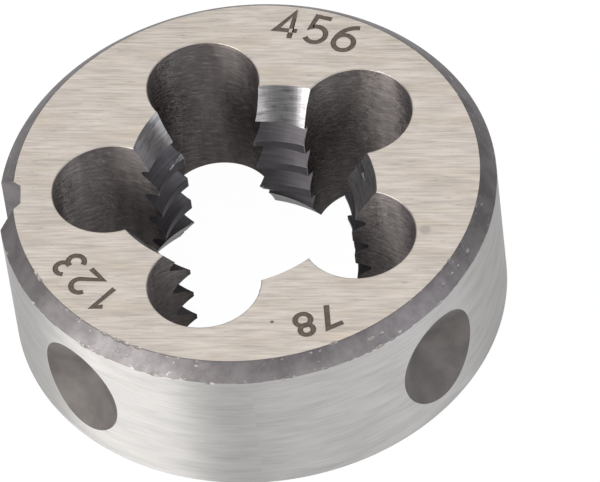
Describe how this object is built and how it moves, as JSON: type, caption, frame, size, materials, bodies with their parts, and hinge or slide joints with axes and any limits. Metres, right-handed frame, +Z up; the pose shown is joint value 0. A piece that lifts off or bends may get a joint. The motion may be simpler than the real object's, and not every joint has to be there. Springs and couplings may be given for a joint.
{
  "type": "round threading die",
  "caption": "Round steel threading die: a disc with a toothed bore, chip holes beside the bore, and a groove and screw dimples in its chamfered rim.",
  "frame": {"origin": "centre of the bottom face, on the axis of the disc", "axes": "+Z up the axis of the disc, +Y out through the groove in the rim"},
  "size_m": [0.0254, 0.0253, 0.0095],
  "materials": {
    "tool_steel": "satin"
  },
  "bodies": {
    "root": {"threading_die": "tool_steel"}
  },
  "joints": []
}
